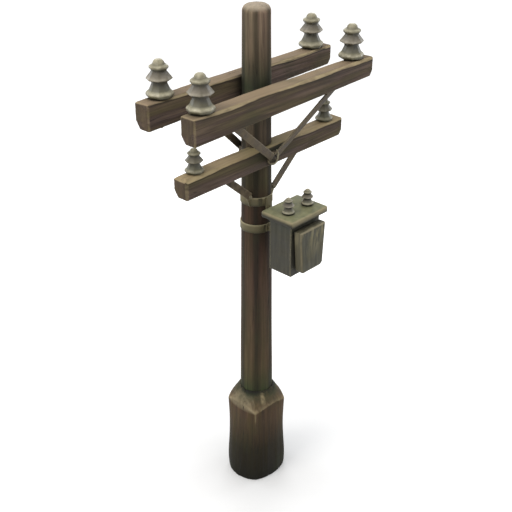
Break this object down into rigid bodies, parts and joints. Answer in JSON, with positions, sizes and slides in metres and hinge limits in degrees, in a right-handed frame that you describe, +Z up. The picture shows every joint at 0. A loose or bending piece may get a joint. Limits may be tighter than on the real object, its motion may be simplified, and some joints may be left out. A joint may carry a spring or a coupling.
{
  "type": "wooden utility pole",
  "caption": "Weathered timber power pole in a hewn foot block, with braced crossarms, faceted insulators and a hinged switch box hung from steel bands.",
  "frame": {"origin": "ground level, at the centre of the pole's flat foot", "axes": "+Z up along the pole, X along the crossarms with the deep butt ends at -X, -Y towards the switch box and its door"},
  "size_m": [2.884, 1.2611, 6.122],
  "materials": {
    "pole_wood": "weathered grey-brown timber, dark and damp near the ground",
    "arm_wood": "hewn grey-brown timber, bleached on top",
    "brace_steel": "dull brown-olive paint, rusted",
    "band_steel": "worn olive-tan paint",
    "porcelain": "dirty cream glaze",
    "box_paint": "olive-grey paint, edges worn pale",
    "door_paint": "grey-olive paint with run-down streaks",
    "hinge_steel": "dull steel with rust"
  },
  "bodies": {
    "pole": {"arm_back": "arm_wood", "arm_front": "arm_wood", "arm_lower": "arm_wood", "arm_spacer": "arm_wood", "band_lower": "band_steel", "band_upper": "band_steel", "box_back": "box_paint", "box_floor": "box_paint", "box_left": "box_paint", "box_lid": "box_paint", "box_rail_bottom": "box_paint", "box_rail_top": "box_paint", "box_right": "box_paint", "box_stile_left": "box_paint", "box_stile_right": "box_paint", "brace_saddle": "brace_steel", "brace_wedge": "brace_steel", "bracket_lower": "band_steel", "bracket_upper": "band_steel", "bushing_left": "porcelain", "bushing_right": "porcelain", "foot_block": "pole_wood", "hinge_knuckles": "hinge_steel", "hinge_pins": "hinge_steel", "insulator_back_left": "porcelain", "insulator_back_right": "porcelain", "insulator_front_left": "porcelain", "insulator_front_right": "porcelain", "insulator_lower_left": "porcelain", "insulator_lower_right": "porcelain", "pole": "pole_wood", "strap_back_left": "brace_steel", "strap_back_right": "brace_steel", "strap_front_left": "brace_steel", "strap_front_right": "brace_steel", "strap_lower_left": "brace_steel", "strap_lower_right": "brace_steel"},
    "door": {"door": "door_paint", "door_leaves": "hinge_steel"}
  },
  "joints": [
    {"name": "door_hinge", "type": "hinge", "parent": "pole", "child": "door", "pos_m": [0.222, -0.75254, 3.55], "axis": [0, 0, 1], "range_deg": [0, 110]}
  ]
}
